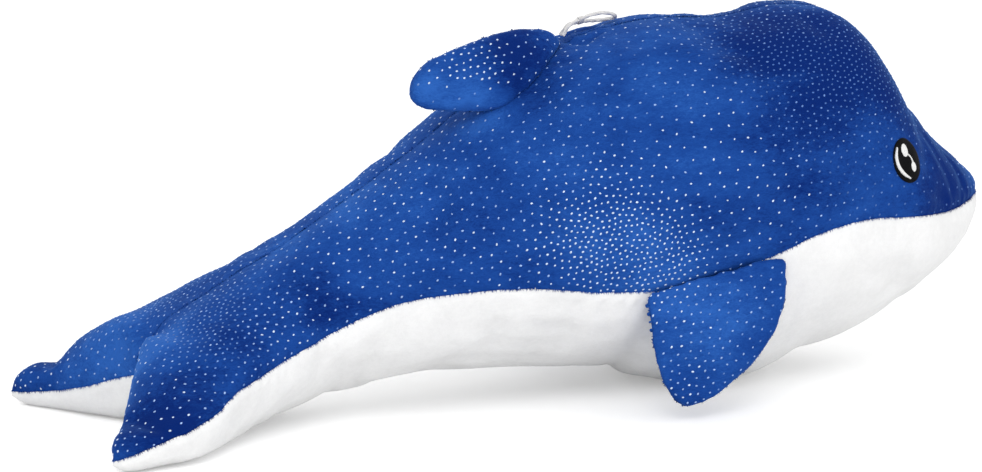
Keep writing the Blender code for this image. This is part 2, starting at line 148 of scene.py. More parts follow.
# Creases in the cloth, alike on both sides: points along each, depth and width, all in mm.
# A depth below 0 is a swell.
CREASES = (
    (((-163, 38, 92), (-162, 44, 86), (-159, 50, 77), (-154, 53, 68)), 2.6, 6.0),
    (((-190, 52, 74), (-210, 66, 60), (-232, 80, 44)), 1.4, 8.0),
    (((-279, 70, 28), (-275, 84, 26), (-269, 92, 24), (-262, 95, 22)), 1.6, 3.5),
    (((-284, 60, 20), (-282, 62, 14)), 1.2, 3.0),
    (((24, 1, 214), (26, 9, 213), (30, 14, 214), (43, 7, 218)), 1.8, 2.6),
    (((4, 20, 204), (12, 26, 204), (22, 27, 207)), 1.0, 3.0),
    (((244, 46, 143), (249, 49, 131), (254, 50, 121), (259, 51, 111)), 1.1, 3.4),
    (((262, 31, 132), (268, 36, 121), (273, 38, 111)), 1.1, 3.2),
    (((228, 71, 121), (238, 66, 113), (252, 58, 106)), 0.9, 3.2),
    (((34, 92, 92), (60, 98, 98), (92, 98, 103), (122, 97, 108)), 1.2, 3.0),
    (((-289, 84, 19), (-284, 88, 20)), -3.2, 9.0),
)

# Foil dots
DOT_RADIUS = 0.00078
DOT_HEIGHT = 0.00026
DOT_SPACING = 0.0066
DOT_SIDES = 6
DOT_ROUNDS = 10
DOT_SLANT = Vector((0.85, 0.0, 0.50))
DOT_STRAY = 0.35
DOT_SIZES = (0.82, 1.12)
DOT_LONG, DOT_SHORT = 1.22, 0.86
DOT_SHOULDER = 0.7
DOT_SUNK = 0.0001
DOT_SEED = 7
DOT_CLOSE, DOT_TRIES = 0.003, 8
DOT_CELL = 0.009
DOT_LEAST, DOT_MOST = 0.86, 1.12
DOT_PUSH = 0.22
DOT_NEIGHBOURS = 7
DOT_RIM = 1.3
DOT_FADE = 1.5
# Painted reflection of the dots: mean shine and its random spread
DOT_PAINTED_SHINE, DOT_PAINTED_SHINE_SPREAD = 0.55, 0.13
# Painted reflection: copies of the one foil, each coloured brighter or darker for the light it
# stands for: name, least shine, colour and roughness
FOIL_PAINTED_SHINES = (
    ("bright", 0.72, (0.66, 0.78, 0.97), 0.40),
    ("soft", 0.45, (0.32, 0.48, 0.83), 0.45),
    ("dim", 0.22, (0.13, 0.27, 0.64), 0.50),
    ("faint", -9.0, (0.050, 0.15, 0.46), 0.55),
)
# Fields of closer, wider, brighter or dimmer dots, where the shine is painted reflection: middle,
# reach, spacing and shine from 0 to 1
DOT_FIELDS = (
    ((-0.100, 0.045, 0.125), 0.080, 0.0060, 0.62),
    ((-0.030, 0.045, 0.165), 0.060, 0.0062, 0.50),
    ((0.085, 0.085, 0.160), 0.060, 0.0088, 0.85),
    ((0.055, 0.045, 0.205), 0.045, 0.0078, 0.35),
    ((0.128, 0.045, 0.210), 0.055, 0.0040, 0.12),
    ((0.172, 0.055, 0.190), 0.065, 0.0034, -0.05),
    ((0.140, 0.080, 0.168), 0.035, 0.0042, 0.20),
    ((0.210, 0.045, 0.175), 0.035, 0.0034, -0.10),
    ((0.178, 0.085, 0.130), 0.045, 0.0062, 0.22),
    ((0.105, 0.096, 0.118), 0.035, 0.0078, 0.85),
    ((0.250, 0.050, 0.120), 0.050, 0.0092, -0.15),
    ((0.212, 0.078, 0.122), 0.040, 0.0072, 0.12),
    ((-0.215, 0.040, 0.068), 0.065, 0.0034, 0.26),
    ((-0.180, 0.058, 0.070), 0.035, 0.0048, 0.72),
    ((-0.270, 0.085, 0.028), 0.035, 0.0068, 0.70),
    ((-0.292, 0.085, 0.014), 0.014, 0.0034, 0.80),
    ((0.012, 0.088, 0.108), 0.062, 0.0032, 1.00),
    ((0.045, 0.094, 0.095), 0.045, 0.0033, 1.00),
    ((-0.050, 0.030, 0.204), 0.035, 0.0040, 1.00),
    ((-0.030, 0.036, 0.182), 0.018, 0.0150, 0.30),
    ((-0.055, 0.034, 0.184), 0.018, 0.0150, 0.30),
    ((-0.076, 0.030, 0.187), 0.012, 0.0150, 0.30),
    ((0.080, 0.110, 0.050), 0.050, 0.0058, 0.55),
    ((0.055, 0.112, 0.026), 0.030, 0.0044, 0.60),
)

# Stitched eyes, in mm ahead and above. Ovals: name, (middle, half width, half height,
# lean in degrees), lift in metres, slot and the end of the node's name
EYE_OVALS = (
    ("patch", ((0, 0), 11.9, 14.0, 15), 0.0014, "black_thread", ""),
    ("big_glint", ((-1.3, 6.2), 3.0, 4.2, 8), 0.0022, "white_thread", "_glint_1"),
    ("small_glint", ((4.2, -4.5), 2.2, 3.2, 4), 0.0022, "white_thread", "_glint_2"),
)
# Strokes: name, points, a width at each, and lift in metres
EYE_STROKES = (
    ("crescent", ((-8.2, 8.8), (-9.7, 3.0), (-8.5, -2.8), (-4.9, -7.8), (-0.4, -11.2)),
     (0.9, 2.4, 2.7, 2.4, 0.9), 0.0021),
    ("link", ((1.0, 3.6), (3.0, 1.0), (4.0, -2.2)), (1.2, 1.2, 1.4), 0.0020),
)
DOME_POWER = 0.7
STITCH_PITCH = 0.65
STITCH_SLANT = 0.4
STITCH_RIDGE = 0.0001
STITCH_SHELL = 0.0005
BLACK_THREAD = ((0.0035, 0.0035, 0.0045), (0.0015, 0.0015, 0.0015), 0.05)
WHITE_THREAD = ((0.88, 0.88, 0.87), (0.74, 0.74, 0.73), 0.3)

# Patches of pile made lighter (above 0) or darker, partly brushed pile and partly painted sheen and
# painted shade: middle, reach, amount
BRUSHED_AND_PAINTED_LIGHT = (
    ((0.020, 0.090, 0.100), 0.070, 0.60),
    ((0.050, 0.094, 0.082), 0.035, 0.45),
    # Painted sheen on the rims of the flukes
    ((-0.262, 0.020, 0.038), 0.060, 1.00),
    ((-0.242, 0.030, 0.062), 0.035, 0.45),
    ((0.075, 0.125, 0.055), 0.055, 0.75),
    # Painted sheen on the dorsal fin's lower edge and end, painted shade on its top
    ((-0.048, 0.034, 0.186), 0.030, 0.85),
    ((-0.020, 0.026, 0.208), 0.044, -1.20),
    ((-0.078, 0.029, 0.194), 0.020, 1.00),
    # Painted shade on the head and the beak, lighter behind the eye
    ((0.165, 0.045, 0.198), 0.100, -0.95),
    ((0.205, 0.050, 0.180), 0.060, -0.50),
    ((0.135, 0.035, 0.212), 0.050, -0.60),
    ((0.196, 0.075, 0.154), 0.035, 0.40),
    ((0.255, 0.045, 0.118), 0.062, -1.40),
    ((0.128, 0.088, 0.145), 0.050, -0.30),
    # Painted shade low on the fluke and in the crease of the tail stock
    ((-0.262, 0.088, 0.030), 0.050, -0.90),
    ((-0.206, 0.062, 0.060), 0.040, -0.30),
    ((-0.160, 0.040, 0.090), 0.030, -0.60),
    ((-0.149, 0.050, 0.074), 0.030, -0.60),
    ((0.060, 0.058, 0.195), 0.070, 0.15),
    ((-0.029, 0.052, 0.166), 0.060, 0.35),
    ((-0.095, 0.035, 0.130), 0.055, 0.30),
    ((0.128, 0.092, 0.125), 0.050, -0.10),
    # Painted sheen along the spine of the tail stock
    ((-0.125, 0.004, 0.130), 0.036, 0.55),
    ((-0.165, 0.004, 0.107), 0.032, 0.55),
    ((0.055, 0.115, 0.020), 0.032, -0.45),
)
BRUSH_AND_LIGHT_DEPTH = 0.45

# Colours, linear
BLUE_DEEP = (0.0008, 0.0180, 0.150)
BLUE_MID = (0.0085, 0.0590, 0.295)
BLUE_LIGHT = (0.0240, 0.1180, 0.455)
BLUE_SHEEN = (0.16, 0.45, 1.0)
WHITE_DEEP = (0.82, 0.82, 0.82)
WHITE_LIGHT = (0.89, 0.89, 0.89)
WORLD_LIGHT = 0.85
FLOOR_LIFT = 0.28
FLOOR_COLOUR = (0.9, 0.9, 0.9, 1)
FLOOR_DROP = 0.0005
LAMP_TARGET = Vector((0, 0, 0.1))
# Lamps: name, place, size and power
LAMPS = (
    ("key", (-1.2, -2.0, 2.4), 1.8, 22.0),
    ("fill", (2.4, -2.2, 1.3), 2.2, 7.0),
    ("rim", (0.3, 2.4, 2.0), 1.8, 9.0),
    ("low", (0.1, -2.8, 0.15), 2.0, 16.0),
)


def place_camera():
    """The camera looks along the photograph's line of sight, from 3.2 m away."""
    back = Vector((
        math.sin(AZIMUTH) * math.cos(ELEVATION),
        -math.cos(AZIMUTH) * math.cos(ELEVATION),
        math.sin(ELEVATION),
    ))
    data = bpy.data.cameras.new("camera")
    data.sensor_width = SENSOR_WIDTH * 1000
    data.sensor_fit = "HORIZONTAL"
    data.lens = SENSOR_WIDTH * 1000 * DISTANCE / VIEW_WIDTH
    camera = bpy.data.objects.new("camera", data)
    camera.location = TARGET + DISTANCE * back
    camera.rotation_euler = back.to_track_quat("Z", "Y").to_euler()
    bpy.context.collection.objects.link(camera)
    bpy.context.scene.camera = camera


def add_object(name, mesh, slot=None, material=None):
    """Links a new object that rides with the toy's one body."""
    thing = bpy.data.objects.new(name, mesh)
    bpy.context.collection.objects.link(thing)
    if material:
        mesh.materials.append(material)
    if slot:
        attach(thing, "root")
    return thing


# Node meshes and the surfaces on them

def node_points(name):
    """A node's welded points and triangles, as lists."""
    bm = bmesh.new()
    bm.from_mesh(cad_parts[name].data)
    bmesh.ops.remove_doubles(bm, verts=bm.verts, dist=1e-6)
    bmesh.ops.triangulate(bm, faces=bm.faces)
    bm.verts.ensure_lookup_table()
    points = [v.co.copy() for v in bm.verts]
    faces = [tuple(v.index for v in f.verts) for f in bm.faces]
    bm.free()
    return points, faces


def outer_skin(name, core):
    """A search tree over the faces of a panel that face away from its filling."""
    points, faces = node_points(name)
    kept = []
    for face in faces:
        a, b, c = (points[i] for i in face)
        normal = (b - a).cross(c - a)
        _, away, _, _ = core.find_nearest((a + b + c) / 3)
        if normal.dot(away) > OUTER_SHARE * normal.length:
            kept.append(face)
    return BVHTree.FromPolygons(points, kept)


def tree_of(name):
    """A search tree over a node's faces."""
    return BVHTree.FromPolygons(*node_points(name))


def mesh_tree(mesh):
    """A search tree over a mesh's faces."""
    return BVHTree.FromPolygons([v.co for v in mesh.vertices], [p.vertices for p in mesh.polygons])


# Mesh arrays: points, edges and smoothing

def mesh_points(mesh):
    flat = np.empty(len(mesh.vertices) * 3)
    mesh.vertices.foreach_get("co", flat)
    return flat.reshape(-1, 3)


def mesh_normals(mesh):
    flat = np.empty(len(mesh.vertices) * 3)
    mesh.vertex_normals.foreach_get("vector", flat)
    return flat.reshape(-1, 3)


def set_points(mesh, points):
    mesh.vertices.foreach_set("co", np.ascontiguousarray(points).ravel())
    mesh.update()


def mesh_edges(mesh):
    flat = np.empty(len(mesh.edges) * 2, dtype=np.int64)
    mesh.edges.foreach_get("vertices", flat)
    return flat.reshape(-1, 2)


def smoothed(values, edges, rounds):
    """Values averaged with their neighbours along the edges."""
    values = np.array(values, dtype=float)
    table = values.reshape(len(values), -1)
    first, second = edges.T
    count = np.maximum(np.bincount(edges.ravel(), minlength=len(values)).astype(float), 1)
    for _ in range(rounds):
        total = np.stack([
            np.bincount(first, column[second], len(values))
            + np.bincount(second, column[first], len(values))
            for column in table.T
        ], axis=1)
        table += 0.5 * (total / count[:, None] - table)
    return values


def applied(thing):
    """Puts the object's modifiers into its mesh."""
    graph = bpy.context.evaluated_depsgraph_get()
    mesh = bpy.data.meshes.new_from_object(thing.evaluated_get(graph))
    old = thing.data
    thing.modifiers.clear()
    thing.data = mesh
    bpy.data.meshes.remove(old)


def remeshed(name, nodes, voxel, rounds):
    """A new object with the outer form of the nodes together, in even faces."""
    points, faces = [], []
    for node in nodes:
        more_points, more_faces = node_points(node)
        first = len(points)
        points += more_points
        faces += [tuple(first + i for i in face) for face in more_faces]
    mesh = bpy.data.meshes.new(name)
    mesh.from_pydata(points, [], faces)
    thing = add_object(name, mesh)
    remesh = thing.modifiers.new("remesh", "REMESH")
    remesh.mode = "VOXEL"
    remesh.voxel_size = voxel
    applied(thing)
    keep_largest(thing.data)
    edges = mesh_edges(thing.data)
    set_points(thing.data, smoothed(mesh_points(thing.data), edges, rounds))
    return thing


def keep_largest(mesh):
    """Leaves only the largest connected part of the mesh."""
    bm = bmesh.new()
    bm.from_mesh(mesh)
    left, largest = set(bm.verts), set()
    while left:
        group, front = set(), [left.pop()]
        while front:
            vert = front.pop()
            group.add(vert)
            for edge in vert.link_edges:
                other = edge.other_vert(vert)
                if other in left:
                    left.remove(other)
                    front.append(other)
        largest = max(largest, group, key=len)
    bmesh.ops.delete(bm, geom=[v for v in bm.verts if v not in largest], context="VERTS")
    bm.to_mesh(mesh)
    bm.free()


def drawn_to(thing, skins, reach, rounds):
    """Moves the points out along their normals to the nearest of the skins."""
    for _ in range(2):
        points = mesh_points(thing.data)
        normals = mesh_normals(thing.data)
        edges = mesh_edges(thing.data)
        push = np.zeros(len(points))
        for i, (point, normal) in enumerate(zip(points, normals)):
            near = None
            for skin in skins:
                place, _, _, distance = skin.find_nearest(Vector(point), reach)
                if place is not None and (near is None or distance < near[1]):
                    near = (place, distance)
            if near:
                push[i] = (near[0] - Vector(point)).dot(Vector(normal))
        push = smoothed(push, edges, rounds)
        set_points(thing.data, points + push[:, None] * normals)


def stuffed(thing, held, swell):
    """Blows the skin up from inside as cloth.

    Points with held = 1 stay, and none moves further than swell.
    """
    before = mesh_points(thing.data)
    group = thing.vertex_groups.new(name="held")
    for i, share in enumerate(held):
        if share > HELD_LEAST:
            group.add([i], float(min(share, 1.0)), "REPLACE")
    cloth = thing.modifiers.new("cloth", "CLOTH")
    for name, value in CLOTH.items():
        setattr(cloth.settings, name, value)
    cloth.settings.effector_weights.gravity = 0
    cloth.collision_settings.use_collision = False
    cloth.point_cache.frame_start = 1
    cloth.point_cache.frame_end = SIM_FRAMES
    scene = bpy.context.scene
    for number in range(1, SIM_FRAMES + 1):
        scene.frame_set(number)
    graph = bpy.context.evaluated_depsgraph_get()
    after = mesh_points(thing.evaluated_get(graph).data)
    thing.modifiers.clear()
    scene.frame_set(1)
    move = after - before
    length = np.linalg.norm(move, axis=1)
    move *= (np.minimum(length, swell) / np.maximum(length, 1e-9))[:, None]
    print("cloth", thing.name, len(before), "mean move mm", round(1000 * length.mean(), 2))
    set_points(thing.data, before + smoothed(move, mesh_edges(thing.data), 2))


def subdivided(thing):
    """One smooth subdivision of the faces."""
    level = thing.modifiers.new("finer", "SUBSURF")
    level.levels = 1
    level.render_levels = 1
    applied(thing)


# Seams: signed distances over the skin and cuts along them

def distances(points, skin):
    return np.array([skin.find_nearest(Vector(p))[3] for p in points])


def lumps(points, size, seed):
    """Smooth noise from -1 to 1 over the points."""
    shift = Vector((seed * 7.31, seed * 3.17, seed * 5.53))
    return np.array([noise.noise(Vector(p) / size + shift) for p in points])


def seam_relief(field, points, depth, pucker, seed):
    """Depth of a sewn line, with the small puckers that the thread pulls beside it."""
    gap = np.abs(field)
    groove = -depth * np.exp(-((gap / SEAM_WIDTH) ** 2))
    phase = 2 * math.pi * (points[:, 0] + points[:, 1]) / PUCKER_PITCH
    phase += PUCKER_DRIFT * lumps(points, PUCKER_DRIFT_SIZE, seed)
    share = np.clip(lumps(points, PUCKER_PATCH_SIZE, seed + 1) + PUCKER_SHARE, 0, 1)
    fade = np.exp(-(gap / PUCKER_REACH) ** 2) * np.clip(gap / SEAM_WIDTH, 0, 1)
    return groove + pucker * share * fade * np.sin(phase)


def crease_relief(points):
    """Depth of the cloth's creases, each with a soft lip on both sides."""
    places = points * (1, 0, 1) + np.abs(points) * (0, 1, 0)
    rise = np.zeros(len(points))
    for route, depth, width in CREASES:
        route = np.array(route) / 1000
        depth, width = depth / 1000, width / 1000
        away = np.full(len(points), np.inf)
        for a, b in zip(route, route[1:]):
            run = b - a
            share = np.clip((places - a) @ run / (run @ run), 0, 1)
            away = np.minimum(away, np.linalg.norm(places - a - share[:, None] * run, axis=1))
        rise -= depth * np.exp(-((away / width) ** 2))
        rise += LIP_HEIGHT * depth * np.exp(-(((away - LIP_AWAY * width) / width) ** 2))
    return rise


def panel_faces(thing, fields):
    """Cuts the skin where a field is zero, a second one only where the first is positive.

    Returns the cut bmesh and its layers with the fields.
    """
    bm = bmesh.new()
    bm.from_mesh(thing.data)
    bmesh.ops.triangulate(bm, faces=bm.faces)
    layers = []
    for name, values in fields.items():
        layer = bm.verts.layers.float.new(name)
        for vert, value in zip(bm.verts, values):
            vert[layer] = value
        layers.append(layer)
    band = [
        e for e in bm.edges
        if any(abs(v[layer]) < SEAM_BAND for layer in layers for v in e.verts)
    ]
    bmesh.ops.subdivide_edges(bm, edges=band, cuts=1, smooth=0.0)
    bmesh.ops.triangulate(bm, faces=[f for f in bm.faces if len(f.verts) > 3])
    for parent, layer in zip([None] + layers, layers):
        cut_at_zero(bm, layer, parent)
    return bm, layers


def cut_at_zero(bm, layer, parent):
    """Splits the edges on which the layer changes sign, and the faces between the splits."""
    for vert in bm.verts:
        if abs(vert[layer]) < SEAM_SNAP:
            vert[layer] = 0.0
    for edge in list(bm.edges):
        a, b = edge.verts
        if parent and (a[parent] < 0 or b[parent] < 0):
            continue
        low, high = a[layer], b[layer]
        if low * high < 0:
            _, vert = bmesh.utils.edge_split(edge, a, low / (low - high))
            vert[layer] = 0.0
    bmesh.ops.connect_verts(bm, verts=[v for v in bm.verts if v[layer] == 0.0])
    bmesh.ops.triangulate(bm, faces=[f for f in bm.faces if len(f.verts) > 3])


def smooth_mesh(name, bm):
    """A new mesh with smooth faces from the bmesh, which is freed."""
    mesh = bpy.data.meshes.new(name)
    bm.to_mesh(mesh)
    bm.free()
    mesh.shade_smooth()
    return mesh


def add_shell(name, bm, thickness, slot, material):
    """A new object from an open bmesh, thickened inwards."""
    piece = add_object(name, smooth_mesh(name, bm), slot, material)
    shell = piece.modifiers.new("shell", "SOLIDIFY")
    shell.thickness = thickness
    shell.offset = -1.0
    return piece


def taken(bm, layers, wanted, name, slot, material):
    """The faces that the test wants, as a closed shell with a little room at its seams."""
    part = bm.copy()
    own = [part.verts.layers.float[layer.name] for layer in layers]
    gone = [
        f for f in part.faces
        if not wanted([sum(v[layer] for v in f.verts) / 3 for layer in own])
    ]
    bmesh.ops.delete(part, geom=gone, context="FACES")
    bmesh.ops.delete(part, geom=[v for v in part.verts if not v.link_faces], context="VERTS")
    # Sharp rims keep the shell's rim faces out of the shading beside the seams
    for edge in part.edges:
        edge.smooth = not edge.is_boundary
    moves = []
    for vert in [v for v in part.verts if v.is_boundary]:
        inner = [e.other_vert(vert).co for e in vert.link_edges if not e.is_boundary]
        if inner:
            towards = sum(inner, Vector()) / len(inner) - vert.co
            if towards.length > 0:
                moves.append((vert, towards.normalized() * SEAM_CLEARANCE))
    for vert, move in moves:
        vert.co += move
    return add_shell(name, part, SHELL, slot, material)


# Materials

class Shade:
    """A small helper that adds and joins shader nodes."""

    def __init__(self, name):
        self.material = bpy.data.materials.new(name)
        self.material.use_nodes = True
        self.tree = self.material.node_tree
        self.shader = self.tree.nodes["Principled BSDF"]
        self.place = self.add("ShaderNodeTexCoord").outputs["Object"]

    def add(self, kind, **values):
        node = self.tree.nodes.new(kind)
        for key, value in values.items():
            setattr(node, key, value)
        return node

    def join(self, source, socket):
        self.tree.links.new(source, socket)

    def noise(self, size, detail=2.0, rough=0.5, stretch=(1, 1, 1)):
        """Noise with lumps of about the given size in metres."""
        place = self.add("ShaderNodeMapping")
        place.inputs["Scale"].default_value = stretch
        self.join(self.place, place.inputs["Vector"])
        node = self.add("ShaderNodeTexNoise")
        node.inputs["Scale"].default_value = 1 / size
        node.inputs["Detail"].default_value = detail
        node.inputs["Roughness"].default_value = rough
        self.join(place.outputs["Vector"], node.inputs["Vector"])
        return node.outputs["Fac"]

    def ramp(self, value, low, high):
        """Value from low to high, stretched to 0 to 1."""
        node = self.add("ShaderNodeMapRange", interpolation_type="SMOOTHSTEP")
        node.inputs["From Min"].default_value = low
        node.inputs["From Max"].default_value = high
        self.join(value, node.inputs["Value"])
        return node.outputs["Result"]

    def mix(self, share, first, second):
        """Mixes two colours, each a tuple or a socket."""
        node = self.add("ShaderNodeMix", data_type="RGBA")
        self.join(share, node.inputs["Factor"])
        for index, colour in ((6, first), (7, second)):
            if isinstance(colour, tuple):
                node.inputs[index].default_value = (*colour, 1.0)
            else:
                self.join(colour, node.inputs[index])
        return node.outputs[2]

    def maths(self, operation, first, second):
        node = self.add("ShaderNodeMath", operation=operation)
        for socket, value in zip(node.inputs, (first, second)):
            if isinstance(value, (int, float)):
                socket.default_value = value
            else:
                self.join(value, socket)
        return node.outputs["Value"]

    def bump(self, height, distance, strength):
        node = self.add("ShaderNodeBump")
        node.inputs["Distance"].default_value = distance
        node.inputs["Strength"].default_value = strength
        self.join(height, node.inputs["Height"])
        self.join(node.outputs["Normal"], self.shader.inputs["Normal"])

    def blend(self, *pairs):
        """The sum of two values, each times its share."""
        return self.maths("ADD", *[self.maths("MULTIPLY", *pair) for pair in pairs])

    def colour(self, source):
        self.join(source, self.shader.inputs["Base Color"])

    def settle(self, values):
        """Sets the shader's own sockets by name."""
        for name, value in values.items():
            self.shader.inputs[name].default_value = value

    def folded(self):
        """The place with its Y made positive, so that both sides of the toy are alike."""
        parts = self.add("ShaderNodeSeparateXYZ")
        self.join(self.place, parts.inputs[0])
        joined = self.add("ShaderNodeCombineXYZ")
        self.join(parts.outputs["X"], joined.inputs["X"])
        self.join(self.maths("ABSOLUTE", parts.outputs["Y"], 0.0), joined.inputs["Y"])
        self.join(parts.outputs["Z"], joined.inputs["Z"])
        return joined.outputs[0]

    def near(self, place, middle, reach):
        """1 at the middle, falling to 0 at the reach."""
        node = self.add("ShaderNodeVectorMath", operation="DISTANCE")
        self.join(place, node.inputs[0])
        node.inputs[1].default_value = middle
        return self.maths("SUBTRACT", 1.0, self.ramp(node.outputs["Value"], 0.0, reach))


def blue_plush(name):
    """Short blue pile: lighter and darker in random patches and in listed patches of brushed pile,
    painted sheen and painted shade, with a velvet sheen.
    """
    shade = Shade(name)
    streaks = shade.ramp(shade.noise(0.050, 4.0, 0.55, (0.6, 1.2, 1.4)), 0.30, 0.70)
    patches = shade.ramp(shade.noise(0.016, 3.0, 0.6, (0.7, 1.2, 1.2)), 0.30, 0.72)
    share = shade.maths("ADD", shade.blend((streaks, 0.26), (patches, 0.16)), 0.24)
    place = shade.folded()
    # Painted sheen and painted shade, with brushed pile, in the listed patches
    for middle, reach, amount in BRUSHED_AND_PAINTED_LIGHT:
        patch = shade.maths("MULTIPLY", shade.near(place, middle, reach), BRUSH_AND_LIGHT_DEPTH * amount)
        share = shade.maths("ADD", share, patch)
    tufts = shade.noise(0.0024, 3.0, 0.65, (0.5, 1.0, 1.3))
    pile = shade.noise(0.0009, 2.0, 0.6, (0.5, 1.0, 1.3))
    fibre = shade.blend((tufts, 0.5), (pile, 0.5))
    flecks = shade.maths("MULTIPLY", shade.maths("SUBTRACT", fibre, 0.5), 0.9)
    share = shade.maths("ADD", share, flecks)
    low = shade.mix(shade.ramp(share, 0.0, 0.55), BLUE_DEEP, BLUE_MID)
    shade.colour(shade.mix(shade.ramp(share, 0.45, 1.0), low, BLUE_LIGHT))
    shade.bump(fibre, 0.0009, 0.6)
    shade.settle({
        "Roughness": 0.8, "Specular IOR Level": 0.06, "Sheen Weight": 0.33,
        "Sheen Roughness": 0.3, "Sheen Tint": (*BLUE_SHEEN, 1.0),
    })
    return shade.material


def white_plush(name):
    """Short soft white pile."""
    shade = Shade(name)
    tufts = shade.noise(0.0032, 3.0, 0.6)
    pile = shade.noise(0.0010, 2.0, 0.6)
    fibre = shade.blend((tufts, 0.6), (pile, 0.4))
    patches = shade.ramp(shade.noise(0.03, 3.0, 0.6), 0.35, 0.65)
    share = shade.maths("ADD", patches, shade.ramp(fibre, 0.35, 0.65))
    shade.colour(shade.mix(shade.maths("MULTIPLY", share, 0.5), WHITE_DEEP, WHITE_LIGHT))
    shade.bump(fibre, 0.0007, 0.4)
    shade.settle({
        "Roughness": 0.8, "Specular IOR Level": 0.1, "Sheen Weight": 0.15, "Sheen Roughness": 0.4,
    })
    return shade.material


def foil(name, colour, roughness):
    """Pressed foil of the dots; its colour is painted reflection, a little uneven in brightness."""
    shade = Shade(name)
    uneven = shade.ramp(shade.noise(0.004), 0.35, 0.65)
    shade.colour(shade.mix(uneven, tuple(0.8 * c for c in colour), colour))
    shade.settle({"Metallic": 0.2, "Roughness": roughness})
    return shade.material


def thread(name, colour, deep, shine):
    """Embroidery thread with fine fibres."""
    shade = Shade(name)
    fibres = shade.noise(0.0006, 3.0, 0.6, (1.0, 1.0, 3.0))
    shade.colour(shade.mix(shade.ramp(fibres, 0.3, 0.7), deep, colour))
    shade.bump(fibres, 0.0002, 0.6)
    shade.settle({"Roughness": 0.5, "Specular IOR Level": shine})
    return shade.material


# Hanging loop

def smooth_route(points, count):
    """Points of a smooth curve through the given ones."""
    points = [Vector(p) for p in points]
    ends = [2 * points[0] - points[1]] + points + [2 * points[-1] - points[-2]]
    route = []
    for a, b, c, d in zip(ends, ends[1:], ends[2:], ends[3:]):
        for i in range(count):
            t = i / count
            route.append(0.5 * (
                2 * b + (c - a) * t + (2 * a - 5 * b + 4 * c - d) * t ** 2
                + (3 * b - a - 3 * c + d) * t ** 3
            ))
    route.append(points[-1])
    return route


def tube(name, route, radius_at, sides):
    """A capped tube round the route; radius_at(angle, distance) shapes its section."""
    bm = bmesh.new()
    rings = []
    side = Vector((0, 0, 1))
    travelled = 0.0
    for i, place in enumerate(route):
        run = route[min(i + 1, len(route) - 1)] - route[max(i - 1, 0)]
        run.normalize()
        side = (side - side.dot(run) * run).normalized()
        other = run.cross(side)
        if i:
            travelled += (place - route[i - 1]).length
        ring = []
        for k in range(sides):
            angle = 2 * math.pi * k / sides
            out = math.cos(angle) * side + math.sin(angle) * other
            ring.append(bm.verts.new(place + radius_at(angle, travelled) * out))
        rings.append(ring)
    for low, high in zip(rings, rings[1:]):
        for k in range(sides):
            n = (k + 1) % sides
            bm.faces.new((low[k], low[n], high[n], high[k]))
    bm.faces.new(rings[0][::-1])
    bm.faces.new(rings[-1])
    bmesh.ops.recalc_face_normals(bm, faces=bm.faces)
    return smooth_mesh(name, bm)


def twisted(angle, distance):
    """Section of a cord laid up from plies."""
    turn = CORD_PLIES * (angle - 2 * math.pi * distance / (CORD_TWIST * CORD_PLIES))
    return CORD_DIAMETER / 2 * (0.90 + 0.10 * math.cos(turn))


def binding_route(points):
    """The turns of the binding thread round both runs of the cord."""
    low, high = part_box("loop_binding")
    middle = (Vector(low) + Vector(high)) / 2
    across = (points[10] - points[2]).normalized()
    along = (points[3] - points[1]).normalized() - (points[11] - points[9]).normalized()
    along.normalize()
    rise = along.cross(across).normalized()
    flat = (points[10] - points[2]).length / 2 + CORD_DIAMETER / 2 + BINDING_LIFT
    tall = CORD_DIAMETER / 2 + BINDING_LIFT
    turns = []
    for i in range(BINDING_TURNS * BINDING_STEPS + 1):
        angle = 2 * math.pi * i / BINDING_STEPS
        step = BINDING_PITCH * (i / BINDING_STEPS - BINDING_TURNS / 2)
        place = middle + math.cos(angle) * flat * across + math.sin(angle) * tall * rise
        turns.append(place + step * along)
    return turns


def add_loop():
    """The hanging loop: both ends go down to the back, and a thread binding holds it."""
    backs = [tree_of("back_panel_left"), tree_of("back_panel_right")]
    points = [Vector(p) for p in LOOP_ROUTE]
    for end in (points[0], points[-1]):
        above = Vector((end.x, end.y, 1))
        hits = [tree.ray_cast(above, Vector((0, 0, -1)))[0] for tree in backs]
        end.z = max(hit.z for hit in hits if hit) + CORD_SEAT
    route = smooth_route(points, 16)
    material = thread("loop cord", *CORD_THREAD)
    loop = add_object("loop_cord", tube("loop_cord", route, twisted, 18), "loop_cord", material)
    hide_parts("hang_loop")

    wrap = tube("loop_wrap", binding_route(points), lambda angle, distance: BINDING_RADIUS, 6)
    binding = add_object("loop_wrap", wrap, "loop_cord", material)
    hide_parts("loop_binding")


# Body

